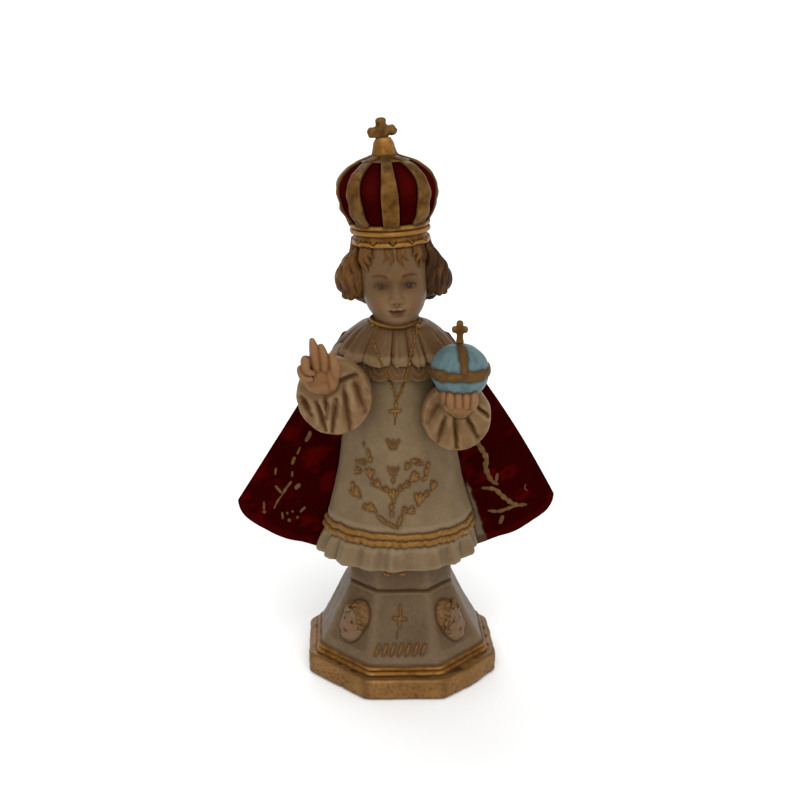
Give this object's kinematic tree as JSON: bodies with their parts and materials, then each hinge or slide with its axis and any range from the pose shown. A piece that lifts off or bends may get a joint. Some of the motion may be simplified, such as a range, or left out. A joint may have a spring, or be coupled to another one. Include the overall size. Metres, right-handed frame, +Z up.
{
  "type": "infant of prague statue",
  "caption": "Painted cast figure of a robed, crowned child with a raised hand, an orb and a wide mantle, on an octagonal pedestal.",
  "frame": {"origin": "centre of the octagonal pedestal's flat underside", "axes": "+Z up the figure, -Y towards its front, +X to the right as seen from the front"},
  "size_m": [0.0783, 0.0456, 0.1302],
  "materials": {
    "painted_resin": "satin hand-painted ivory with gold, crimson, flesh, brown and light blue paint",
    "gold_paint": "satin metallic gold paint on the casting",
    "crimson_paint": "glossy dark red paint on the casting",
    "flesh_paint": "satin flesh paint on the casting",
    "hair_paint": "satin golden brown paint on the casting",
    "blue_paint": "satin light blue paint on the casting"
  },
  "bodies": {
    "root": {"statue": "painted_resin"}
  },
  "joints": []
}
